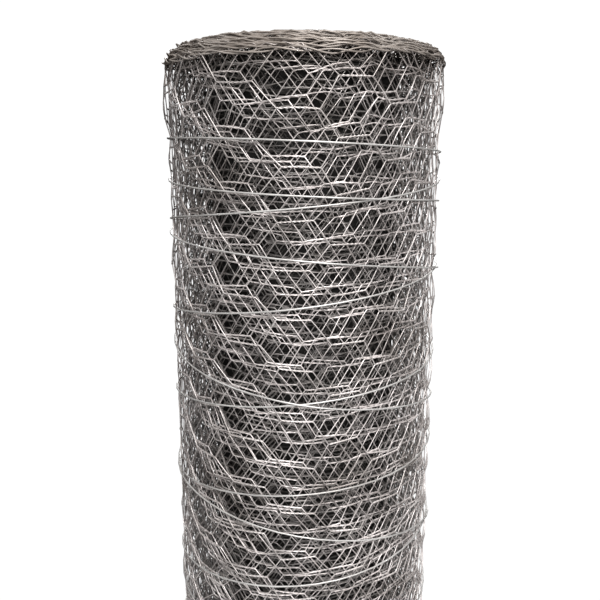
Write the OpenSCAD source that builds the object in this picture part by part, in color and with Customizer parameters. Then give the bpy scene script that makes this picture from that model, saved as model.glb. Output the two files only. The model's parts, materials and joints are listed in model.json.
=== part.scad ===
// Roll of hexagonal wire netting (chicken wire), 25 mm mesh, standing on its end.
// The netting is one long strip wound on itself, so the roll is one turned solid whose turns show as rings
// on both ends. One thin binding wire is wound up the roll and back down again to hold it closed.
// Millimetres, +Z up. The origin is the middle of the lower end, on the roll's axis.

/* [Roll] */
// Diameter over the outermost turn
roll_d = 154; // [110:1:260]
// Height of the outermost turn, which is the width that the netting is woven to
roll_h = 610; // [305:1:915]
// Diameter of the hollow down the middle
bore_d = 40; // [24:1:80]
// How far the inner turns stand above the outermost one at the upper end
crown = 10; // [0:0.5:30]
// How far the netting springs outwards above the highest wrap of the binding wire
top_flare = 2; // [0:0.25:6]
// Height over which it springs out
flare_rise = 18; // [5:1:24]

/* [Turns] */
// Radial distance from one turn of the netting to the next
turn_pitch = 1.14; // [0.9:0.02:2.5]
// Width of the gap that shows between two turns on an end
turn_gap = 0.3; // [0.2:0.05:0.6]
// Depth of that gap
turn_gap_depth = 1.5; // [0.5:0.1:4]
// How unevenly the upper edges of the turns stand
edge_wander = 1.2; // [0:0.1:3]

/* [Binding wire] */
// Diameter of the binding wire
wire_d = 0.9; // [0.7:0.05:2]
// Clearance between the binding wire and what it lies on
wire_clearance = 0.1; // [0.05:0.01:0.4]
// Distance of the highest wrap below the upper edge of the outermost turn
top_margin = 39; // [30:1:100]
// Height of both ends of the wire above the lower end
end_height = 50; // [20:1:120]
// Rise in one wrap on the way up
climb_pitch = 50; // [30:1:90]
// Fall in one wrap on the way down
descent_pitch = 75; // [40:1:110]
// Fall in one of the close wraps that the way down starts with
close_pitch = 28; // [15:1:40]
// Number of those close wraps
close_wraps = 2; // [0:1:4]
// How much of a wrap lies level at the top, between the way up and the way down
level_wrap = 0.34; // [0.3:0.02:1]

/* [Hidden] */
$fn = 96;

zinc_grey = [0.60, 0.60, 0.59];
wire_grey = [0.70, 0.70, 0.68];

roll_r = roll_d / 2;
bore_r = bore_d / 2;
turns = floor((roll_r - bore_r) / turn_pitch);
turn_land = turn_pitch - turn_gap;

// The crown rises steeply over the outer turns and is nearly level over the inner ones.
crown_power = 14;
wander_step = 137.5;

wire_r = wire_d / 2;
highest_wrap_z = roll_h - top_margin;
flare_start_z = highest_wrap_z + wire_d;
flare_full_z = flare_start_z + flare_rise;

// Outer radius of a turn, counted from the outside. The innermost turn runs on to the bore.
function turn_outer_r(i) = roll_r - i * turn_pitch;
function turn_inner_r(i) = i == turns - 1 ? bore_r : turn_outer_r(i) - turn_land;
// The same radius at the upper end, where the flare is shared out over the turns.
function flared_r(r) = r + top_flare * (r - bore_r) / (roll_r - bore_r);

// Height of a turn's upper edge. The outermost and innermost turns don't wander.
function crown_at(r) = crown * (1 - pow(r / roll_r, crown_power));
function wander_at(i) = edge_wander * sin(i * wander_step) * min(1, i / 6, (turns - 1 - i) / 2);
function turn_top_z(i) = roll_h + crown_at(turn_outer_r(i)) + wander_at(i);

// One turn on the lower end and one on the upper end, each followed by the gap before the next turn.
function lower_step(i) = [
    [turn_outer_r(i), 0],
    [turn_inner_r(i), 0],
    if (i < turns - 1) [turn_inner_r(i), turn_gap_depth],
    if (i < turns - 1) [turn_outer_r(i + 1), turn_gap_depth]
];
function upper_gap_z(i) = min(turn_top_z(i), turn_top_z(i + 1)) - turn_gap_depth;
function upper_step(i) = [
    [flared_r(turn_outer_r(i)), turn_top_z(i)],
    [flared_r(turn_inner_r(i)), turn_top_z(i)],
    if (i < turns - 1) [flared_r(turn_inner_r(i)), upper_gap_z(i)],
    if (i < turns - 1) [flared_r(turn_outer_r(i + 1)), upper_gap_z(i)]
];
lower_profile = [for (i = [0 : turns - 1]) each lower_step(i)];
upper_profile = [for (i = [0 : turns - 1]) each upper_step(i)];
upper_inwards_out = [for (i = [len(upper_profile) - 1 : -1 : 0]) upper_profile[i]];
flare_profile = top_flare > 0 ? [[roll_r + top_flare, flare_full_z], [roll_r, flare_start_z]] : [];

// The wire's height against the number of times it has gone round. It starts low down, climbs to its
// highest wrap, lies level there up to wrap 0 at the front of the roll, falls in a few close wraps, and
// then falls in wider ones.
climb = highest_wrap_z - end_height;
close_fall = close_wraps * close_pitch;
first_wrap = -level_wrap - climb / climb_pitch;
last_wrap = close_wraps + (climb - close_fall) / descent_pitch;
wrap_heights = [
    [first_wrap, end_height],
    [-level_wrap, highest_wrap_z],
    [0, highest_wrap_z],
    if (close_wraps > 0) [close_wraps, highest_wrap_z - close_fall],
    [last_wrap, end_height]
];

// Rings of the wire's tube in one wrap, and sides of the tube.
wrap_rings = 30;
wire_sides = 6;
wire_rings = ceil((last_wrap - first_wrap) * wrap_rings);

// The chords of the tube stay clear of the roll, and the way down stays clear of the way up.
wire_seat_r = (roll_r + wire_clearance + wire_r) / cos(180 / wrap_rings);
wire_lift = wire_d + 3 * wire_clearance;
smoothing = [-0.12, -0.06, 0, 0.06, 0.12];

function ease(t) = let (c = min(1, max(0, t))) c * c * (3 - 2 * c);
function mean(values) = values * [for (v = values) 1] / len(values);
function wrap_z(w) = mean([for (d = smoothing) lookup(w + d, wrap_heights)]);
// The wire steps outwards by its own thickness along the level wrap.
function wrap_r(w) = wire_seat_r + wire_lift * ease(1 + w / level_wrap);
// Wrap 0 passes the front of the roll, which is -Y, and the wire turns towards +X.
function ring_point(w, k) = let (
    across = 360 * k / wire_sides,
    r = wrap_r(w) + wire_r * cos(across),
    around = 360 * w - 90
) [r * cos(around), r * sin(around), wrap_z(w) + wire_r * sin(across)];

module netting_roll() {
    color(zinc_grey)
        rotate_extrude()
            polygon(concat(lower_profile, upper_inwards_out, flare_profile));
}

module binding_wire() {
    rings = [for (j = [0 : wire_rings]) first_wrap + (last_wrap - first_wrap) * j / wire_rings];
    points = [for (w = rings) for (k = [0 : wire_sides - 1]) ring_point(w, k)];
    last = len(rings) - 1;
    sides = [
        for (j = [0 : last - 1]) for (k = [0 : wire_sides - 1])
            let (
                a = j * wire_sides + k,
                b = j * wire_sides + (k + 1) % wire_sides
            ) each [[a, b, b + wire_sides], [a, b + wire_sides, a + wire_sides]]
    ];
    start_cap = [for (k = [wire_sides - 1 : -1 : 0]) k];
    end_cap = [for (k = [0 : wire_sides - 1]) last * wire_sides + k];
    color(wire_grey)
        polyhedron(points = points, faces = concat(sides, [start_cap, end_cap]), convexity = 10);
}

netting_roll();
binding_wire();
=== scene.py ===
"""A roll of chicken wire standing on its end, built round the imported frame.

The netting is one strip of hexagonal mesh wound on itself. Every wire in it is a tube of its own: it twists
round a neighbour for a while, slants up or down by half a mesh, and twists round the neighbour on its other
side. The long edges of the strip are cables of two wires, and one thin binding wire is wound up the outside
of the roll and back down again. All lengths are in metres, in the frame's own axes.
"""

import json
import logging
import math
import sys
from dataclasses import dataclass
from enum import Enum

import bpy
import numpy as np
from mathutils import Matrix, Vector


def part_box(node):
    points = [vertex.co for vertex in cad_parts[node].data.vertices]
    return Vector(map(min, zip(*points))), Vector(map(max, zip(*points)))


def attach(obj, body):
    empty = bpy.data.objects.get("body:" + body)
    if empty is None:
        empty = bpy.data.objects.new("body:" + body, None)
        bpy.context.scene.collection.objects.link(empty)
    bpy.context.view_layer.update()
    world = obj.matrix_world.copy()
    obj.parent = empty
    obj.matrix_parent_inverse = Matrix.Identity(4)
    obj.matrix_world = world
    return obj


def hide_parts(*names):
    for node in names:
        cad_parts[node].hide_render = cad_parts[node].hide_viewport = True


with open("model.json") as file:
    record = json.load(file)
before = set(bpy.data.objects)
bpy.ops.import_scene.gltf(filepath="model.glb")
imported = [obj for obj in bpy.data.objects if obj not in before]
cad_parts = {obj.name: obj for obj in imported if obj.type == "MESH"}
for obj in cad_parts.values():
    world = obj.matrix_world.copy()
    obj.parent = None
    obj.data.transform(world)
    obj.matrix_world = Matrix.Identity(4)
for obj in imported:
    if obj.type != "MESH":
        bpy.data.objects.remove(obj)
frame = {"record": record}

MM = 0.001
TAU = 2 * math.pi
ROOT_BODY = "root"
Colour = tuple[float, float, float]

log = logging.getLogger("chicken_wire")


class Edge(Enum):
    """The two long edges of the netting, as the roll stands."""

    LOWER = 0
    UPPER = 1


class Drawing(Enum):
    """How finely a stretch of the netting's wires is drawn.

    Each gives sides of the tube, rings along a twist, rings along a slant, and half turns in a twist.
    """

    FINE = (5, 17, 2, 8)
    FULL = (4, 11, 1, 5)
    FAIR = (3, 8, 0, 4)
    PLAIN = (3, 3, 0, 2)
    SPARE = (3, 2, 0, 0)

    @property
    def sides(self) -> int:
        """Sides of the tube."""
        return self.value[0]

    @property
    def twist_rings(self) -> int:
        """Rings along one twist, both of its ends included."""
        return self.value[1]

    @property
    def slant_rings(self) -> int:
        """Rings along one slant, without its ends."""
        return self.value[2]

    @property
    def half_turns(self) -> int:
        """Half turns that a wire makes round its neighbour in one twist."""
        return self.value[3]


def on_line(along: np.ndarray) -> np.ndarray:
    """Turns distances along a line into points on it, so that a ripple can be read there."""
    return np.stack([along, np.zeros_like(along), np.zeros_like(along)], axis=-1)


def ease(share: np.ndarray) -> np.ndarray:
    """Turns a share that runs from 0 to 1 into one that starts and ends gently.

    Args:
        share: Any values; those outside 0 to 1 are held at the limits.

    Returns:
        The eased share.
    """
    held = np.clip(share, 0.0, 1.0)
    return held * held * (3 - 2 * held)


def fade(distance: np.ndarray, reach: float) -> np.ndarray:
    """Falls smoothly from 1 at no distance to nearly nothing at twice the reach."""
    return np.exp(-((distance / reach) ** 2))


def seat_piece(
    mesh: bpy.types.Mesh, places: np.ndarray, finish: bpy.types.Material, node: str
) -> None:
    """Maps and dresses a mesh, and seats it on the frame in place of a part of it.

    Args:
        mesh: The finished mesh, whose name the piece takes.
        places: Map places of the faces' corners, laid out so that the finishes could be stored on the map.
        finish: The material that the piece wears.
        node: The part of the frame that it stands for.
    """
    layer = mesh.uv_layers.new(name="OFBake")
    layer.uv.foreach_set("vector", places.astype(np.float32).ravel())
    mesh.validate()
    mesh.materials.append(finish)
    piece = bpy.data.objects.new(mesh.name, mesh)
    bpy.context.scene.collection.objects.link(piece)
    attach(piece, ROOT_BODY)
    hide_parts(node)
    log.info("%s: %d triangles", piece.name, len(mesh.loops) - 2 * len(mesh.polygons))


@dataclass(frozen=True)
class Ripple:
    """A smooth unevenness in space, made of long waves that are the same on each run."""

    seed: int
    shortest: float
    longest: float
    height: float
    waves: int = 16

    def at(self, points: np.ndarray) -> np.ndarray:
        """Reads the unevenness.

        Args:
            points: Places, with three lengths in the last axis.

        Returns:
            The unevenness at each place, about as large as height.
        """
        rng = np.random.default_rng(self.seed)
        lengths = np.exp(rng.uniform(math.log(self.shortest), math.log(self.longest), self.waves))
        headings = rng.normal(size=(self.waves, 3))
        headings /= np.linalg.norm(headings, axis=1, keepdims=True)
        phases = rng.uniform(0, TAU, self.waves)
        total = np.zeros(points.shape[:-1])
        for length, heading, phase in zip(lengths, headings, phases):
            total += np.sin(points @ (heading * TAU / length) + phase)
        return total * self.height * math.sqrt(2 / self.waves)


@dataclass
class TubeSet:
    """Round wires of one radius that all have the same number of rings."""

    centres: np.ndarray
    radius: float
    sides: int

    def drawn_radius(self) -> float:
        """Radius of the drawn polygon, which looks as wide on average as the round wire."""
        return self.radius * math.pi / (self.sides * math.sin(math.pi / self.sides))

    def points(self) -> np.ndarray:
        """Places the rings round the centre lines.

        Returns:
            Points shaped wires, rings, sides, 3.
        """
        run = np.gradient(self.centres, axis=1)
        run /= np.linalg.norm(run, axis=2, keepdims=True)
        outward = self.centres * np.array([1.0, 1.0, 0.0])
        outward /= np.linalg.norm(outward, axis=2, keepdims=True)
        outward -= (outward * run).sum(axis=2, keepdims=True) * run
        outward /= np.linalg.norm(outward, axis=2, keepdims=True)
        across = np.cross(run, outward)
        turn = np.arange(self.sides) * TAU / self.sides
        reach = self.drawn_radius()
        out_part = outward[:, :, None, :] * np.cos(turn)[None, None, :, None]
        side_part = across[:, :, None, :] * np.sin(turn)[None, None, :, None]
        return self.centres[:, :, None, :] + reach * (out_part + side_part)

    def faces(self) -> tuple[np.ndarray, np.ndarray]:
        """Numbers the corners of the faces.

        Returns:
            The four corners of each side face, and the corners of the two caps of each wire.
        """
        wires, rings = self.centres.shape[:2]
        wire, ring, side = np.meshgrid(
            np.arange(wires), np.arange(rings - 1), np.arange(self.sides), indexing="ij"
        )
        here = (wire * rings + ring) * self.sides
        beside = (side + 1) % self.sides
        quads = np.stack(
            [here + side, here + self.sides + side, here + self.sides + beside, here + beside], axis=-1
        )
        first = np.arange(wires)[:, None] * rings * self.sides + np.arange(self.sides)
        last = first[:, ::-1] + (rings - 1) * self.sides
        return quads.reshape(-1, 4), np.concatenate([first, last])

    def layout(self) -> tuple[np.ndarray, np.ndarray]:
        """Lays the wires out flat, one above the other, on a map that finishes could be stored on.

        Returns:
            Map places of the side faces' corners and of the caps' corners.
        """
        wires, rings = self.centres.shape[:2]
        wire, ring, side = np.meshgrid(
            np.arange(wires), np.arange(rings - 1), np.arange(self.sides), indexing="ij"
        )
        margin, band = 0.08, 0.76
        cap_margin, cap_height, cap_width, cap_columns = 0.92, 0.04, 0.2, [0.25, 0.75]
        low = (wire + margin + band * side / self.sides) / wires
        high = (wire + margin + band * (side + 1) / self.sides) / wires
        left, right = ring / rings, (ring + 1) / rings
        corners = np.stack(
            [
                np.stack([left, low], axis=-1),
                np.stack([right, low], axis=-1),
                np.stack([right, high], axis=-1),
                np.stack([left, high], axis=-1),
            ],
            axis=-2,
        )
        turn = np.arange(self.sides) * TAU / self.sides
        cap_wire = np.concatenate([np.arange(wires), np.arange(wires)])[:, None]
        cap_right = np.repeat(cap_columns, wires)[:, None] / rings
        caps = np.stack(
            [
                1 - 1 / rings + cap_right + cap_width / rings * np.cos(turn),
                (cap_wire + cap_margin + cap_height * np.sin(turn)) / wires,
            ],
            axis=-1,
        )
        return corners.reshape(-1, 2), caps.reshape(-1, 2)


@dataclass
class WirePiece:
    """One visible piece made of sets of round wires."""

    name: str
    node: str
    slot: str
    sets: list[TubeSet]

    def build(self, finish: bpy.types.Material) -> None:
        """Makes the mesh and the places of its map, and seats the piece.

        Args:
            finish: The material that the piece wears.
        """
        mesh = bpy.data.meshes.new(self.name)
        points, loops, sizes, places = [], [], [], []
        offset = 0
        for index, tubes in enumerate(self.sets):
            corners = tubes.points().reshape(-1, 3)
            quads, caps = tubes.faces()
            quad_places, cap_places = tubes.layout()
            points.append(corners)
            loops += [(quads + offset).ravel(), (caps + offset).ravel()]
            sizes += [np.full(len(quads), 4), np.full(len(caps), tubes.sides)]
            share = np.array([1.0, 1.0 / len(self.sets)])
            shift = np.array([0.0, index / len(self.sets)])
            places += [quad_places * share + shift, cap_places * share + shift]
            offset += len(corners)
        point_list, loop_list = np.concatenate(points), np.concatenate(loops)
        size_list, place_list = np.concatenate(sizes), np.concatenate(places)
        starts = np.concatenate([[0], np.cumsum(size_list)[:-1]])
        mesh.vertices.add(len(point_list))
        mesh.vertices.foreach_set("co", point_list.astype(np.float32).ravel())
        mesh.loops.add(len(loop_list))
        mesh.loops.foreach_set("vertex_index", loop_list.astype(np.int32))
        mesh.polygons.add(len(size_list))
        mesh.polygons.foreach_set("loop_start", starts.astype(np.int32))
        mesh.polygons.foreach_set("use_smooth", size_list == 4)
        mesh.update(calc_edges=True)
        seat_piece(mesh, place_list, finish, self.node)


@dataclass(frozen=True)
class BindingPath:
    """The line of the binding wire, which climbs the roll, lies level at the top and comes down again."""

    roll_radius: float
    roll_height: float
    wire_radius: float = 0.45 * MM
    clearance: float = 0.1 * MM
    top_margin: float = 39 * MM  # from the level stretch up to the roll's upper edge
    end_height: float = 50 * MM  # of both ends above the floor
    climb_pitch: float = 50 * MM
    descent_pitch: float = 75 * MM
    close_pitch: float = 28 * MM  # of the first wraps on the way down
    close_wraps: float = 2.0
    level_wrap: float = 0.34  # share of a wrap that lies level
    smoothing: float = 0.12  # share of a wrap over which the pitch changes
    smoothing_steps: int = 5
    out_of_reach: float = 1.0  # distance that stands for no wrap nearby

    def wrap_range(self) -> tuple[float, float]:
        """Works out how often the wire passes the front of the roll, counted from the uppermost time.

        Returns:
            The first count, which is below 0 and belongs to the way up, and the last.
        """
        climb = self.roll_height - self.top_margin - self.end_height
        fall = climb - self.close_wraps * self.close_pitch
        return -self.level_wrap - climb / self.climb_pitch, self.close_wraps + fall / self.descent_pitch

    def height_at(self, wraps: np.ndarray) -> np.ndarray:
        """Height of the wire.

        Args:
            wraps: Counts of turns round the roll.

        Returns:
            Heights above the floor.
        """
        first, last = self.wrap_range()
        top = self.roll_height - self.top_margin
        knots = [first, -self.level_wrap, 0.0, self.close_wraps, last]
        heights = [self.end_height, top, top, top - self.close_wraps * self.close_pitch, self.end_height]
        spread = np.linspace(-self.smoothing, self.smoothing, self.smoothing_steps)
        return np.mean([np.interp(wraps + shift, knots, heights) for shift in spread], axis=0)

    def nearest(self, bearing: np.ndarray, height: np.ndarray, climbing_only: bool = False) -> np.ndarray:
        """Distance up or down from a point on the roll to the nearest wrap of the wire.

        Args:
            bearing: Angles round the roll, anticlockwise from +X.
            height: Heights above the floor.
            climbing_only: Whether only the way up counts.

        Returns:
            The distances.
        """
        first, last = self.wrap_range()
        share = np.mod((bearing + TAU / 4) / TAU, 1.0)
        best = np.full(np.broadcast(bearing, height).shape, self.out_of_reach)
        for whole in range(math.floor(first) - 1, 0 if climbing_only else math.ceil(last) + 1):
            wraps = share + whole
            there = (wraps >= first) & (wraps <= (0.0 if climbing_only else last))
            gap = np.where(there, np.abs(self.height_at(wraps) - height), self.out_of_reach)
            best = np.minimum(best, gap)
        return best


@dataclass(frozen=True)
class RollShape:
    """Where a point of the flat netting lies once the strip is wound up."""

    radius: float
    bore_radius: float
    height: float
    crown: float  # rise of the upper edge from the outermost turn to the middle
    turn_pitch: float  # mean distance between two turns
    binding: BindingPath
    outer_pitch: float = 0.54 * MM  # distance between the outermost turns
    outer_end_bearing: float = math.radians(62)
    loose_turns: float = 10.0  # turns that give way to the binding wire
    crown_power: float = 26.0  # how late and how steeply the dome falls to its rim
    flare: float = 1.5 * MM  # how far the roll springs out above the binding wire
    flare_rise: float = 18 * MM
    lower_seat: float = 1.45 * MM  # from the floor to the middle of the lower cable
    upper_seat: float = 0.2 * MM
    crown_from: float = 0.78  # share of the height from which the turns rise to the dome
    fray_from: float = 0.97  # share of the height from which the upper edge frays and curls in
    curl: float = 1.3 * MM
    fray_limit: float = 0.3 * MM
    edge_rise_limit: float = 0.8 * MM
    edge_sink: float = 0.4 * MM
    even_turns: float = 4.0  # turns over which the edge becomes fully uneven
    outer_edge_share: float = 0.75
    slip_from: float = 1 / 24  # share of the height over which an edge stops the wires from slipping
    bulge_rise: float = 0.8 * MM
    bulge_least: float = 0.2 * MM
    bulge_reach: float = 9 * MM
    press_depth: float = 0.45 * MM
    press_reach: float = 5 * MM
    turn_steps: int = 6000
    edge_ripple: Ripple = Ripple(seed=11, shortest=0.02, longest=0.15, height=1.5 * MM)
    fray_ripple: Ripple = Ripple(seed=16, shortest=0.015, longest=0.1, height=0.9 * MM)
    slip_ripple: Ripple = Ripple(seed=17, shortest=0.15, longest=0.8, height=4.2 * MM)
    bulge_ripple: Ripple = Ripple(seed=12, shortest=0.03, longest=0.12, height=0.35 * MM)
    nest_ripple: Ripple = Ripple(seed=13, shortest=0.02, longest=0.09, height=0.15 * MM)
    sag_ripple: Ripple = Ripple(seed=14, shortest=0.05, longest=0.2, height=1.3 * MM)
    creep_ripple: Ripple = Ripple(seed=15, shortest=0.05, longest=0.2, height=1.3 * MM)

    def all_turns(self) -> float:
        """Number of turns from the outer end to the bore."""
        return (self.radius - self.bore_radius) / self.turn_pitch

    def slackening(self) -> float:
        """Half of how much the pitch grows in each turn on the way in."""
        return (self.turn_pitch - self.outer_pitch) / self.all_turns()

    def radius_at(self, turns: np.ndarray) -> np.ndarray:
        """Radius of the spiral after some turns from its outer end."""
        return self.radius - self.outer_pitch * turns - self.slackening() * turns**2

    def along_at(self, turns: np.ndarray) -> np.ndarray:
        """Distance along the strip after some turns from its outer end."""
        outer_part = self.radius * turns - self.outer_pitch * turns**2 / 2
        return TAU * (outer_part - self.slackening() * turns**3 / 3)

    def turns_at(self, along: np.ndarray) -> np.ndarray:
        """Number of turns from the outer end.

        Args:
            along: Distances along the strip from its outer end.

        Returns:
            Turns, whole and part.
        """
        turns = np.linspace(0.0, self.all_turns() + 1, self.turn_steps)
        return np.interp(along, self.along_at(turns), turns)

    def edge_rise(self, along: np.ndarray, spiral_radius: np.ndarray) -> np.ndarray:
        """How far the strip's upper edge stands above that of the outermost turn, in a low uneven dome.

        Args:
            along: Distances along the strip.
            spiral_radius: Radius of the spiral there.

        Returns:
            Heights above the upper edge of the outermost turn.
        """
        depth = (self.radius - spiral_radius) / (self.even_turns * self.turn_pitch)
        dome = self.crown * (1 - (spiral_radius / self.radius) ** self.crown_power)
        wander = np.minimum(self.edge_ripple.at(on_line(along)), self.edge_rise_limit) - self.edge_sink
        return dome + np.clip(depth, self.outer_edge_share, 1.0) * wander

    def place(self, along: np.ndarray, share: np.ndarray, rise: np.ndarray, lift: np.ndarray) -> np.ndarray:
        """Winds points of the flat netting onto the roll.

        Args:
            along: Distances along the strip from its outer end.
            share: Places across the strip, from 0 at the lower edge to 1 at the upper one.
            rise: Extra heights.
            lift: Distances outwards from the strip's middle surface.

        Returns:
            Points in the frame's axes.
        """
        turns = self.turns_at(along)
        radius = self.radius_at(turns)
        bearing = self.outer_end_bearing + TAU * turns
        span = self.height - self.lower_seat - self.upper_seat
        raised = ease((share - self.crown_from) / (1 - self.crown_from)) * self.edge_rise(along, radius)
        height = self.lower_seat + share * span + raised + rise
        spot = np.stack([radius * np.cos(bearing), radius * np.sin(bearing), height], axis=-1)
        free = np.minimum(ease(share / self.slip_from), ease((1 - share) / self.slip_from))
        height = height + free * (self.sag_ripple.at(spot) + self.slip_ripple.at(on_line(along)))
        bearing = bearing + self.creep_ripple.at(spot) / radius
        loose = np.clip(1.0 - turns / self.loose_turns, 0.0, 1.0)
        gap = self.binding.nearest(bearing, height)
        slack = 1 - fade(gap, self.bulge_reach)
        pressed = self.press_depth * fade(gap, self.press_reach)
        flare_from = self.height - self.binding.top_margin
        flared = self.flare * ease((height - flare_from) / self.flare_rise)
        flared = flared * (radius - self.bore_radius) / (self.radius - self.bore_radius)
        swell = np.maximum(self.bulge_ripple.at(spot) + self.bulge_rise, self.bulge_least)
        bulge = swell * slack - pressed
        frayed = ease((share - self.fray_from) / (1 - self.fray_from))
        fray = frayed * (np.minimum(self.fray_ripple.at(on_line(along)), self.fray_limit) - self.curl)
        reach = radius + lift + flared + bulge * loose + self.nest_ripple.at(spot) + fray
        return np.stack([reach * np.cos(bearing), reach * np.sin(bearing), height], axis=-1)


@dataclass(frozen=True)
class Stretch:
    """One stretch of the wound netting, between two counts of turns from its outer end."""

    name: str
    first_turn: float
    last_turn: float
    drawing: Drawing
    wire_radius: float


@dataclass
class Netting:
    """The hexagonal netting: its mesh, its wire and the stretches that it is built in."""

    shape: RollShape
    rows: int = 24
    column_step: float = 26.0 * MM
    twist_share: float = 0.67  # share of a column step that is twisted
    drift: tuple[float, float] = (0.2, 0.32)  # shares of a column by which a turn moves past the last one
    cable_wire_radius: float = 0.4 * MM
    cable_lay: float = 27.2 * MM
    cable_looseness: float = 1.1
    fine_cable_turns: float = 3.0  # outermost turns in which the cables are drawn finely
    fine_cable_step: float = 3.4 * MM
    deep_cable_step: float = 6.8 * MM
    fine_cable_sides: int = 5
    deep_cable_sides: int = 4
    cable_ripple: Ripple = Ripple(seed=23, shortest=0.03, longest=0.15, height=1.0)
    slope_jitter: float = 0.5 * MM
    height_jitter: float = 0.4 * MM
    along_jitter: float = 0.5 * MM
    lift_jitter: float = 0.22 * MM
    jitter_limit: float = 2.2
    most_turns: int = 100
    seed: int = 31

    def column_places(self) -> np.ndarray:
        """Places the columns of twists along the strip.

        The netting is pulled a little longer or shorter from turn to turn, so that the columns of one turn
        lie a little beside those of the turn outside it.

        Returns:
            Distances along the strip at which the twists start.
        """
        rng = np.random.default_rng(self.seed + 1)
        turn, places = 0.0, []
        drifts = rng.uniform(*self.drift, self.most_turns)
        while turn < self.shape.all_turns() - 1:
            places.append(self.shape.along_at(turn))
            half_girth = math.pi * self.shape.radius_at(turn)
            turn += 1 / (2 * round(half_girth / self.column_step) + drifts[int(turn)])
        return np.array(places)

    def jitter(self) -> np.ndarray:
        """Unevenness of every twist in the strip.

        Returns:
            Along, height, slope and lift of each twist, by column and by half row.
        """
        rng = np.random.default_rng(self.seed)
        sizes = np.array([self.along_jitter, self.height_jitter, self.slope_jitter, self.lift_jitter])
        drawn = rng.normal(size=(len(self.column_places()), 2 * self.rows + 1, len(sizes)))
        return drawn.clip(-self.jitter_limit, self.jitter_limit) * sizes

    def twists(self, first: int, last: int, stretch: Stretch) -> np.ndarray:
        """Lays out the twists of all the wires between two columns, on the flat netting.

        Args:
            first: The column that the stretch starts with.
            last: The column that it ends at.
            stretch: The stretch, with its wire and how finely that is drawn.

        Returns:
            Place along, share across, rise and lift, shaped wires, columns, rings, 4.
        """
        wires = np.arange(2 * self.rows)[:, None]
        columns = np.arange(first, last + 1)[None, :]
        even = columns % 2 == 0
        half_row = np.where(even, 2 * ((wires + 1) // 2), 2 * (wires // 2) + 1)
        upper = (wires % 2 == 0) == even
        on_edge = (half_row == 0) | (half_row == 2 * self.rows)
        moved, raised, tilted, lifted = np.moveaxis(self.jitter()[columns, half_row], -1, 0)[..., None]
        raised = np.where(on_edge[..., None], 0.0, raised)
        tilted = np.where(on_edge[..., None], 0.0, tilted)
        hold = stretch.wire_radius + np.where(on_edge, self.cable_wire_radius, 0.0)[..., None]
        twist = np.linspace(0.0, 1.0, stretch.drawing.twist_rings)
        spin = math.pi * stretch.drawing.half_turns * twist + np.where(upper, 0.0, math.pi)[..., None]
        places = self.column_places()
        steps = np.append(np.diff(places), self.column_step)
        start = places[columns][..., None] + moved
        along = start + self.twist_share * steps[columns][..., None] * twist
        rise = raised + tilted * 2 * (twist - 0.5) + hold * np.cos(spin)
        lift = lifted + hold * np.sin(spin)
        share = np.broadcast_to(half_row[..., None] / (2 * self.rows), along.shape)
        return np.stack([along, share, rise, lift], axis=-1)

    def wire_lines(self, first: int, last: int, stretch: Stretch) -> np.ndarray:
        """Centre lines of all the wires between two columns of twists, with the slants between the twists.

        Args:
            first: The column that the stretch starts with.
            last: The column that it ends at.
            stretch: The stretch, with its wire and how finely that is drawn.

        Returns:
            Points shaped wires, rings, 3.
        """
        flat = self.twists(first, last, stretch)
        rings = [flat[:, :-1]]
        slant_rings = stretch.drawing.slant_rings
        if slant_rings:
            step = (np.arange(slant_rings) + 1.0) / (slant_rings + 1.0)
            step = step[None, None, :, None]
            rings.append(flat[:, :-1, -1:] * (1 - step) + flat[:, 1:, :1] * step)
        body = np.concatenate(rings, axis=2).reshape(len(flat), -1, flat.shape[-1])
        line = np.concatenate([body, flat[:, -1, :1]], axis=1)
        along, share, rise, lift = np.moveaxis(line, -1, 0)
        return self.shape.place(np.maximum(along, 0.0), share, rise, lift)

    def cable_lines(self, edge: Edge, start: float, end: float, spacing: float) -> np.ndarray:
        """Centre lines of the two wires that are twisted together along an edge of the netting.

        Args:
            edge: Which edge.
            start: Distance along the strip where the stretch starts.
            end: Distance along the strip where it ends.
            spacing: About how far apart the rings are.

        Returns:
            Points shaped 2, rings, 3.
        """
        rings = max(3, int(round((end - start) / spacing)) + 1)
        along = np.linspace(start, end, rings)[None, :].repeat(2, axis=0)
        spin = TAU * along / self.cable_lay + np.array([0.0, math.pi])[:, None]
        share = np.full_like(along, float(edge.value))
        ripple = self.cable_ripple.at(on_line(along))
        spread = self.cable_wire_radius * (1.0 + self.cable_looseness * np.abs(ripple))
        rise = spread * np.cos(spin) * (1.0 if edge is Edge.UPPER else self.cable_wire_radius / spread)
        lift = spread * np.sin(spin)
        return self.shape.place(along, share, rise, lift)

    def stretches(self) -> list[Stretch]:
        """Lists the stretches of the strip.

        Returns:
            The stretches, from the outside in.
        """
        innermost = self.shape.all_turns()
        return [
            Stretch("netting_outer_turn", 0.0, 1.02, Drawing.FINE, 0.29 * MM),
            Stretch("netting_next_turns", 1.02, 3.0, Drawing.FULL, 0.26 * MM),
            Stretch("netting_near_turns", 3.0, 7.0, Drawing.FAIR, 0.24 * MM),
            Stretch("netting_middle_turns", 7.0, 18.5, Drawing.PLAIN, 0.28 * MM),
            Stretch("netting_core_turns", 18.5, innermost, Drawing.SPARE, 0.28 * MM),
        ]

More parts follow.
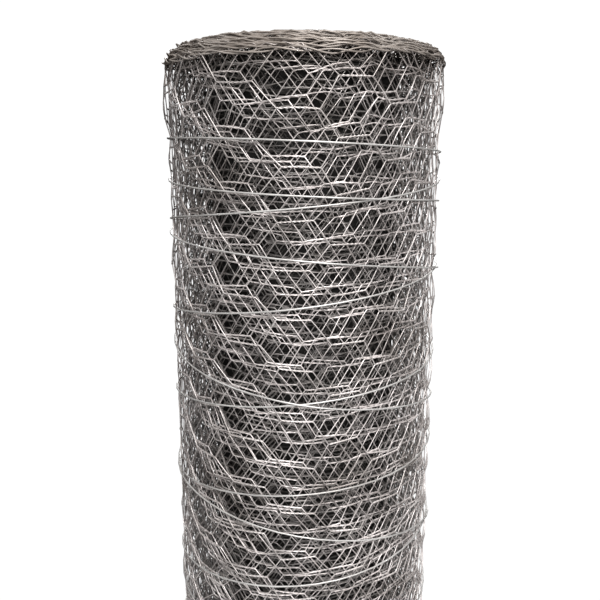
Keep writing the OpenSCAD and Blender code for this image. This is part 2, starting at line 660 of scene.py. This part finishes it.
    def build(
        self,
        outer_shaded_finish: bpy.types.Material,
        wire_finish: bpy.types.Material,
        inner_shaded_finish: bpy.types.Material,
        core_shaded_finish: bpy.types.Material,
        edge_finish: bpy.types.Material,
    ) -> None:
        """Builds every stretch of the netting and its two edge cables.

        Args:
            outer_shaded_finish: Material of the wires in the outermost turn: the same zinc, a little darker
                than the next turns' as painted shade, since that turn catches the most light.
            wire_finish: Material of the wires in the turns next to it.
            inner_shaded_finish: Material of the wires in the middle turns: the same zinc, darker as painted
                shade for the light that the outer turns keep out.
            core_shaded_finish: Material of the wires further in: the same zinc, darker still as painted
                shade.
            edge_finish: Material of the edge cables.
        """
        places = self.column_places()
        finishes = {
            Drawing.FINE: outer_shaded_finish,
            Drawing.FULL: wire_finish,
            Drawing.FAIR: wire_finish,
            Drawing.PLAIN: inner_shaded_finish,
            Drawing.SPARE: core_shaded_finish,
        }
        for stretch in self.stretches():
            first = int(np.searchsorted(places, self.shape.along_at(stretch.first_turn)))
            last = int(np.searchsorted(places, self.shape.along_at(stretch.last_turn)))
            lines = self.wire_lines(first, min(last, len(places) - 1), stretch)
            tubes = TubeSet(lines, stretch.wire_radius, stretch.drawing.sides)
            WirePiece(stretch.name, "netting_roll", "netting", [tubes]).build(finishes[stretch.drawing])
        end = float(places[-1]) + self.twist_share * self.column_step
        showing = self.shape.along_at(self.fine_cable_turns)
        for edge in Edge:
            near = self.cable_lines(edge, 0.0, showing, self.fine_cable_step)
            deep = self.cable_lines(edge, showing, end, self.deep_cable_step)
            sets = [
                TubeSet(near, self.cable_wire_radius, self.fine_cable_sides),
                TubeSet(deep, self.cable_wire_radius, self.deep_cable_sides),
            ]
            WirePiece(f"edge_cable_{edge.name.lower()}", "netting_roll", "netting", sets).build(edge_finish)


@dataclass
class BindingWire:
    """The thin wire that is wound round the roll to hold it closed."""

    path: BindingPath
    rings_per_wrap: int = 44
    sides: int = 8
    step_over: float = 2.2
    step_reach: float = 5 * MM
    waver: Ripple = Ripple(seed=41, shortest=0.12, longest=0.5, height=1.1 * MM)

    def line(self) -> np.ndarray:
        """Centre line of the wire, which steps over itself where the way down crosses the way up.

        Returns:
            Points shaped 1, rings, 3.
        """
        first, last = self.path.wrap_range()
        wraps = np.linspace(first, last, int((last - first) * self.rings_per_wrap) + 1)
        bearing = TAU * wraps - TAU / 4
        height = self.path.height_at(wraps)
        climb = self.path.nearest(bearing, height, climbing_only=True)
        crossing = np.where(wraps > 0, climb, self.path.out_of_reach)
        seat = self.path.roll_radius - self.path.clearance
        reach = seat + self.step_over * self.path.wire_radius * fade(crossing, self.step_reach)
        length = wraps * TAU * self.path.roll_radius
        height = height + self.waver.at(on_line(length))
        points = np.stack([reach * np.cos(bearing), reach * np.sin(bearing), height], axis=-1)
        return points[None]

    def build(self, finish: bpy.types.Material) -> None:
        """Builds the wire.

        Args:
            finish: Its material.
        """
        tubes = TubeSet(self.line(), self.path.wire_radius, self.sides)
        WirePiece("binding_wire_wound", "binding_wire", "binding", [tubes]).build(finish)


@dataclass
class Shade:
    """A dark closed sleeve between the turns, for the light that so many turns keep out."""

    shape: RollShape
    turn: float = 27.0
    bottom: float = 8 * MM
    top_above: float = 3 * MM
    wall: float = 1 * MM
    sides: int = 72
    map_margin: float = 0.05

    def build(self, finish: bpy.types.Material) -> None:
        """Builds the sleeve.

        Args:
            finish: Its material.
        """
        radius = float(self.shape.radius_at(self.turn))
        top = self.shape.height + self.top_above
        profile = [
            (radius, self.bottom),
            (radius, top),
            (radius - self.wall, top),
            (radius - self.wall, self.bottom),
        ]
        corners = len(profile)
        turn = np.arange(self.sides) * TAU / self.sides
        points = [(r * math.cos(t), r * math.sin(t), z) for t in turn for r, z in profile]
        faces, places = [], []
        for side in range(self.sides):
            here, beside = side * corners, (side + 1) % self.sides * corners
            left, right = side / self.sides, (side + 1) / self.sides
            for corner in range(corners):
                above = (corner + 1) % corners
                low, high = (corner + self.map_margin) / corners, (corner + 1 - self.map_margin) / corners
                faces.append((here + corner, beside + corner, beside + above, here + above))
                places += [(left, low), (right, low), (right, high), (left, high)]
        mesh = bpy.data.meshes.new("netting_shade")
        mesh.from_pydata(points, [], faces)
        seat_piece(mesh, np.array(places), finish, "netting_roll")


def add_noise(tree: bpy.types.NodeTree, place: bpy.types.Node, scale: float) -> bpy.types.Node:
    """Adds a noise texture that is fixed to the object.

    Args:
        tree: The material's nodes.
        place: The node that gives the places.
        scale: Patches to the metre, roughly.

    Returns:
        The noise node, with its value on Fac.
    """
    noise = tree.nodes.new("ShaderNodeTexNoise")
    noise.inputs["Scale"].default_value = scale
    tree.links.new(place.outputs["Object"], noise.inputs["Vector"])
    return noise


def add_spread(
    tree: bpy.types.NodeTree,
    value: bpy.types.NodeSocket,
    limits: tuple[float, float],
    results: tuple[float, float] = (0.0, 1.0),
) -> bpy.types.Node:
    """Adds a node that spreads a value between two limits over a range of results.

    Args:
        tree: The material's nodes.
        value: The socket that gives the value.
        limits: Values at which the first and the last result are reached.
        results: The first and the last result.

    Returns:
        The node, with the spread value on its Result.
    """
    spread = tree.nodes.new("ShaderNodeMapRange")
    spread.inputs["From Min"].default_value = limits[0]
    spread.inputs["From Max"].default_value = limits[1]
    spread.inputs["To Min"].default_value = results[0]
    spread.inputs["To Max"].default_value = results[1]
    tree.links.new(value, spread.inputs["Value"])
    return spread


def add_mix(tree: bpy.types.NodeTree, share: bpy.types.NodeSocket, colour: Colour) -> bpy.types.Node:
    """Adds a node that mixes a colour over whatever is linked or set as its first one.

    Args:
        tree: The material's nodes.
        share: The socket that gives the share of the colour.
        colour: The colour that is mixed in.

    Returns:
        The node, with the mixture on its Result.
    """
    mix = tree.nodes.new("ShaderNodeMix")
    mix.data_type = "RGBA"
    mix.inputs["B"].default_value = (*colour, 1.0)
    tree.links.new(share, mix.inputs["Factor"])
    return mix


@dataclass(frozen=True)
class ZincFinish:
    """Galvanised wire: dull zinc with brighter and darker patches, fine mottling and some dirt."""

    name: str
    bright: Colour
    dull: Colour
    # Colour of the dirt spots, also mixed in towards the upper edge.
    dark_tone: Colour
    dirt_share: float
    roughness: tuple[float, float]
    patch_scale: float = 55.0
    patch_detail: float = 4.0
    patch_limits: tuple[float, float] = (0.36, 0.64)
    spot_scale: float = 24.75
    spot_detail: float = 5.0
    spot_limits: tuple[float, float] = (0.5, 0.78)
    edge_darkening_below: float = 22 * MM  # below the roll's upper edge, where the darkening starts
    edge_darkening_above: float = 2 * MM  # above that edge, where it is darkest
    edge_darkening_share: float = 0.55
    mottle_scale: float = 2200.0
    mottle_detail: float = 3.0
    mottle_limits: tuple[float, float] = (0.3, 0.7)
    metallic: float = 0.45
    bump_strength: float = 0.1
    bump_depth: float = 0.05 * MM

    def build(self, upper_edge: float) -> bpy.types.Material:
        """Makes the material.

        Args:
            upper_edge: Height of the roll's upper edge, near which the colour darkens.

        Returns:
            The node material.
        """
        material = bpy.data.materials.new(self.name)
        material.use_nodes = True
        tree = material.node_tree
        tree.nodes.clear()
        output = tree.nodes.new("ShaderNodeOutputMaterial")
        shader = tree.nodes.new("ShaderNodeBsdfPrincipled")
        place = tree.nodes.new("ShaderNodeTexCoord")
        colour = self._colour(tree, place, upper_edge)
        tree.links.new(colour.outputs["Result"], shader.inputs["Base Color"])
        mottle = add_noise(tree, place, self.mottle_scale)
        mottle.inputs["Detail"].default_value = self.mottle_detail
        rough = add_spread(tree, mottle.outputs["Fac"], self.mottle_limits, self.roughness)
        tree.links.new(rough.outputs["Result"], shader.inputs["Roughness"])
        bump = tree.nodes.new("ShaderNodeBump")
        bump.inputs["Strength"].default_value = self.bump_strength
        bump.inputs["Distance"].default_value = self.bump_depth
        tree.links.new(mottle.outputs["Fac"], bump.inputs["Height"])
        tree.links.new(bump.outputs["Normal"], shader.inputs["Normal"])
        shader.inputs["Metallic"].default_value = self.metallic
        tree.links.new(shader.outputs["BSDF"], output.inputs["Surface"])
        return material

    def _colour(
        self, tree: bpy.types.NodeTree, place: bpy.types.Node, upper_edge: float
    ) -> bpy.types.Node:
        """Lays the colours one over another: patches of zinc, spots of dirt, and a darker, browner band
        near the upper edge.

        Args:
            tree: The material's nodes.
            place: The node that gives the places.
            upper_edge: Height of the roll's upper edge.

        Returns:
            The last of the mix nodes, with the colour on its Result.
        """
        patches = add_noise(tree, place, self.patch_scale)
        patches.inputs["Detail"].default_value = self.patch_detail
        patch_mask = add_spread(tree, patches.outputs["Fac"], self.patch_limits)
        zinc = add_mix(tree, patch_mask.outputs["Result"], self.bright)
        zinc.inputs["A"].default_value = (*self.dull, 1.0)
        spots = add_noise(tree, place, self.spot_scale)
        spots.inputs["Detail"].default_value = self.spot_detail
        spot_mask = add_spread(tree, spots.outputs["Fac"], self.spot_limits, (0.0, self.dirt_share))
        soiled = add_mix(tree, spot_mask.outputs["Result"], self.dark_tone)
        tree.links.new(zinc.outputs["Result"], soiled.inputs["A"])
        height = tree.nodes.new("ShaderNodeSeparateXYZ")
        tree.links.new(place.outputs["Object"], height.inputs["Vector"])
        # Darker and browner towards the roll's upper edge, darkest just above it.
        edge_darkening_limits = (upper_edge - self.edge_darkening_below, upper_edge + self.edge_darkening_above)
        edge_darkening_mask = add_spread(tree, height.outputs["Z"], edge_darkening_limits, (0.0, self.edge_darkening_share))
        edge_darkened = add_mix(tree, edge_darkening_mask.outputs["Result"], self.dark_tone)
        tree.links.new(soiled.outputs["Result"], edge_darkened.inputs["A"])
        return edge_darkened


# Painted shade: the outermost turn's zinc is a little darker than the next turns', since that turn catches
# the most light.
OUTER_ZINC_SHADED = ZincFinish(
    name="outer_zinc_painted_shade",
    bright=(0.72, 0.673, 0.654),
    dull=(0.43, 0.394, 0.379),
    dark_tone=(0.19, 0.155, 0.13),
    dirt_share=0.6,
    roughness=(0.33, 0.46),
)
NETTING_ZINC = ZincFinish(
    name="netting_zinc",
    bright=(0.85, 0.79, 0.77),
    dull=(0.45, 0.41, 0.396),
    dark_tone=(0.19, 0.155, 0.13),
    dirt_share=0.55,
    roughness=(0.33, 0.46),
)
# Painted shade: the netting's zinc made darker for the middle turns, for the light that the outer turns
# keep out.
INNER_ZINC_SHADED = ZincFinish(
    name="inner_zinc_painted_shade",
    bright=(0.46, 0.427, 0.412),
    dull=(0.21, 0.193, 0.185),
    dark_tone=(0.12, 0.10, 0.08),
    dirt_share=0.6,
    roughness=(0.38, 0.52),
)
# Painted shade: the zinc made darker still for the turns further in, where little light reaches.
CORE_ZINC_SHADED = ZincFinish(
    name="core_zinc_painted_shade",
    bright=(0.17, 0.159, 0.152),
    dull=(0.075, 0.07, 0.065),
    dark_tone=(0.05, 0.042, 0.035),
    dirt_share=0.6,
    roughness=(0.45, 0.6),
)
EDGE_ZINC = ZincFinish(
    name="edge_zinc",
    bright=(0.62, 0.575, 0.535),
    dull=(0.30, 0.27, 0.245),
    dark_tone=(0.15, 0.115, 0.09),
    dirt_share=0.75,
    roughness=(0.4, 0.58),
)
# Painted shade: a near-black finish for the sleeve, which stands for the shade deep in the roll and for no
# wire.
SHADE_ZINC = ZincFinish(
    name="shade_zinc",
    bright=(0.026, 0.024, 0.022),
    dull=(0.016, 0.015, 0.014),
    dark_tone=(0.012, 0.011, 0.01),
    dirt_share=0.5,
    roughness=(0.7, 0.85),
)
BINDING_ZINC = ZincFinish(
    name="binding_zinc",
    bright=(0.66, 0.645, 0.625),
    dull=(0.46, 0.445, 0.43),
    dark_tone=(0.26, 0.23, 0.20),
    dirt_share=0.4,
    roughness=(0.36, 0.5),
)


@dataclass(frozen=True)
class SoftBox:
    """A soft lamp with a flat front, which points at the upper part of the roll."""

    name: str
    place: tuple[float, float, float]
    width: float
    height: float
    power: float
    aim: tuple[float, float, float] = (0.0, 0.0, 0.42)

    def build(self) -> None:
        """Hangs the lamp and points it at its aim."""
        lamp = bpy.data.lights.new(self.name, "AREA")
        lamp.shape = "RECTANGLE"
        lamp.size, lamp.size_y = self.width, self.height
        lamp.energy = self.power
        holder = bpy.data.objects.new(self.name, lamp)
        bpy.context.scene.collection.objects.link(holder)
        holder.location = self.place
        line = np.array(self.aim) - np.array(self.place)
        flat = math.hypot(line[0], line[1])
        holder.rotation_euler = (math.atan2(flat, -line[2]), 0.0, math.atan2(-line[0], line[1]))


@dataclass
class Studio:
    """The pale floor, the white surroundings, the lamps and the camera."""

    floor_radius: float = 0.56
    floor_fade_from: float = 0.2
    floor_fade_share: float = 0.98
    floor_rings: int = 8
    floor_sides: int = 96
    floor_roughness: float = 0.75
    floor_scale: float = 3.0
    floor_tones: tuple[Colour, Colour] = ((0.86, 0.86, 0.86), (0.89, 0.89, 0.885))
    white: Colour = (1.0, 1.0, 1.0)
    white_strength: float = 1.05
    ambient: Colour = (1.0, 0.99, 0.98)
    ambient_strength: float = 0.03
    eye_height: float = 0.5651
    eye_distance: float = 0.4142
    eye_drop: float = math.radians(12.03)
    eye_turn: float = math.radians(0.32)
    lens: float = 42.41
    sensor: float = 36.0

    def build(self) -> None:
        """Sets up everything round the roll."""
        self._floor()
        self._surroundings()
        for box in self._lamps():
            box.build()
        self._camera()

    def _floor(self) -> None:
        """Lays a pale round floor under the roll."""
        mesh = bpy.data.meshes.new("floor")
        mesh.from_pydata(*self._disc())
        mesh.materials.append(self._floor_finish())
        floor = bpy.data.objects.new("floor", mesh)
        bpy.context.scene.collection.objects.link(floor)

    def _disc(self) -> tuple[list, list, list]:
        """Works out the floor's rings, which lie closer together under the roll.

        Returns:
            Points, an empty list of edges, and faces.
        """
        rings, sides = self.floor_rings, self.floor_sides
        turn = np.arange(sides) * TAU / sides
        points = [(0.0, 0.0, 0.0)]
        for ring in range(1, rings + 1):
            reach = self.floor_radius * (ring / rings) ** 2
            points += [(reach * math.cos(t), reach * math.sin(t), 0.0) for t in turn]
        faces: list[tuple[int, ...]] = [(0, 1 + k, 1 + (k + 1) % sides) for k in range(sides)]
        for ring in range(rings - 1):
            low, high = 1 + ring * sides, 1 + (ring + 1) * sides
            for k in range(sides):
                beside = (k + 1) % sides
                faces.append((low + k, high + k, high + beside, low + beside))
        return points, [], faces

    def _floor_finish(self) -> bpy.types.Material:
        """Makes the floor's material, which fades into the white surroundings towards the rim.

        Returns:
            The node material.
        """
        material = bpy.data.materials.new("pale_floor")
        material.use_nodes = True
        tree = material.node_tree
        shader = tree.nodes["Principled BSDF"]
        shader.inputs["Roughness"].default_value = self.floor_roughness
        place = tree.nodes.new("ShaderNodeTexCoord")
        noise = add_noise(tree, place, self.floor_scale)
        tone = add_mix(tree, noise.outputs["Fac"], self.floor_tones[1])
        tone.inputs["A"].default_value = (*self.floor_tones[0], 1.0)
        tree.links.new(tone.outputs["Result"], shader.inputs["Base Color"])
        reach = tree.nodes.new("ShaderNodeVectorMath")
        reach.operation = "LENGTH"
        tree.links.new(place.outputs["Object"], reach.inputs[0])
        fade_limits = (self.floor_fade_from, self.floor_fade_share * self.floor_radius)
        cover = add_spread(tree, reach.outputs["Value"], fade_limits, (1.0, 0.0))
        cover.interpolation_type = "SMOOTHSTEP"
        tree.links.new(cover.outputs["Result"], shader.inputs["Alpha"])
        return material

    def _surroundings(self) -> None:
        """Makes the surroundings white to look at and dimmer as a light."""
        scene = bpy.context.scene
        scene.view_settings.view_transform = "Standard"
        world = bpy.data.worlds.new("white_studio")
        scene.world = world
        world.use_nodes = True
        tree = world.node_tree
        tree.nodes.clear()
        output = tree.nodes.new("ShaderNodeOutputWorld")
        seen = tree.nodes.new("ShaderNodeBackground")
        seen.inputs["Color"].default_value = (*self.white, 1.0)
        seen.inputs["Strength"].default_value = self.white_strength
        light = tree.nodes.new("ShaderNodeBackground")
        light.inputs["Color"].default_value = (*self.ambient, 1.0)
        light.inputs["Strength"].default_value = self.ambient_strength
        ray = tree.nodes.new("ShaderNodeLightPath")
        mix = tree.nodes.new("ShaderNodeMixShader")
        tree.links.new(ray.outputs["Is Camera Ray"], mix.inputs["Fac"])
        tree.links.new(light.outputs["Background"], mix.inputs[1])
        tree.links.new(seen.outputs["Background"], mix.inputs[2])
        tree.links.new(mix.outputs["Shader"], output.inputs["Surface"])

    def _lamps(self) -> list[SoftBox]:
        """Lists the lamps.

        Returns:
            A small lamp high in front, a wide one lower down, one at each side and a large one behind.
        """
        return [
            SoftBox("front_box", place=(0.25, -1.05, 1.85), width=0.3, height=0.2, power=40.0),
            SoftBox("low_box", place=(0.1, -1.5, 0.85), width=1.2, height=0.5, power=12.5),
            SoftBox("left_box", place=(-1.3, -0.9, 1.0), width=0.3, height=0.4, power=3.5),
            SoftBox("right_box", place=(1.3, -0.9, 1.0), width=0.3, height=0.4, power=4.5),
            SoftBox("back_box", place=(0.0, 1.5, 1.2), width=0.9, height=1.1, power=34.0),
        ]

    def _camera(self) -> None:
        """Places the camera at the height of the upper part of the roll, looking slightly down."""
        data = bpy.data.cameras.new("camera")
        data.lens = self.lens
        data.sensor_width = self.sensor
        camera = bpy.data.objects.new("camera", data)
        camera.location = (0.0, -self.eye_distance, self.eye_height)
        camera.rotation_euler = (math.pi / 2 - self.eye_drop, 0.0, self.eye_turn)
        bpy.context.scene.collection.objects.link(camera)
        bpy.context.scene.camera = camera


@dataclass(frozen=True)
class SolidRoll:
    """The solid roll that the drawn netting stands for, and the room that the drawn one keeps inside it.

    The solid springs out by its flare near the upper end, and its middle stands up there by its crown.
    """

    flare: float = 2 * MM
    crown: float = 10 * MM
    drawn_crown: float = 8.8 * MM
    turn_pitch: float = 1.14 * MM
    twist_reach: float = 0.85 * MM

    def drawn_shape(self) -> RollShape:
        """Works out the drawn roll from the solid one's box and bore.

        Returns:
            The shape of the wound netting, with the path of the binding wire on it.
        """
        roll_low, roll_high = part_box("netting_roll")
        bore = next(m for m in frame["record"]["mounts"] if m["name"] == "bore")
        roll_radius = (roll_high.x - roll_low.x) / 2 - self.flare
        roll_height = bore["dims"]["length_mm"] * MM - self.crown
        return RollShape(
            radius=roll_radius - self.twist_reach,
            bore_radius=bore["dims"]["r_mm"] * MM + self.twist_reach,
            height=roll_height,
            crown=self.drawn_crown,
            turn_pitch=self.turn_pitch,
            binding=BindingPath(roll_radius=roll_radius, roll_height=roll_height),
        )


def main() -> None:
    """Builds the netting, the binding wire and the studio, in that order."""
    logging.basicConfig(level=logging.INFO, format="%(message)s", stream=sys.stdout)
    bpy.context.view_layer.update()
    shape = SolidRoll().drawn_shape()
    zincs = (OUTER_ZINC_SHADED, NETTING_ZINC, INNER_ZINC_SHADED, CORE_ZINC_SHADED, EDGE_ZINC)
    Netting(shape).build(*[zinc.build(shape.height) for zinc in zincs])
    Shade(shape).build(SHADE_ZINC.build(shape.height))
    BindingWire(shape.binding).build(BINDING_ZINC.build(shape.height))
    Studio().build()


if __name__ == "__main__":
    main()
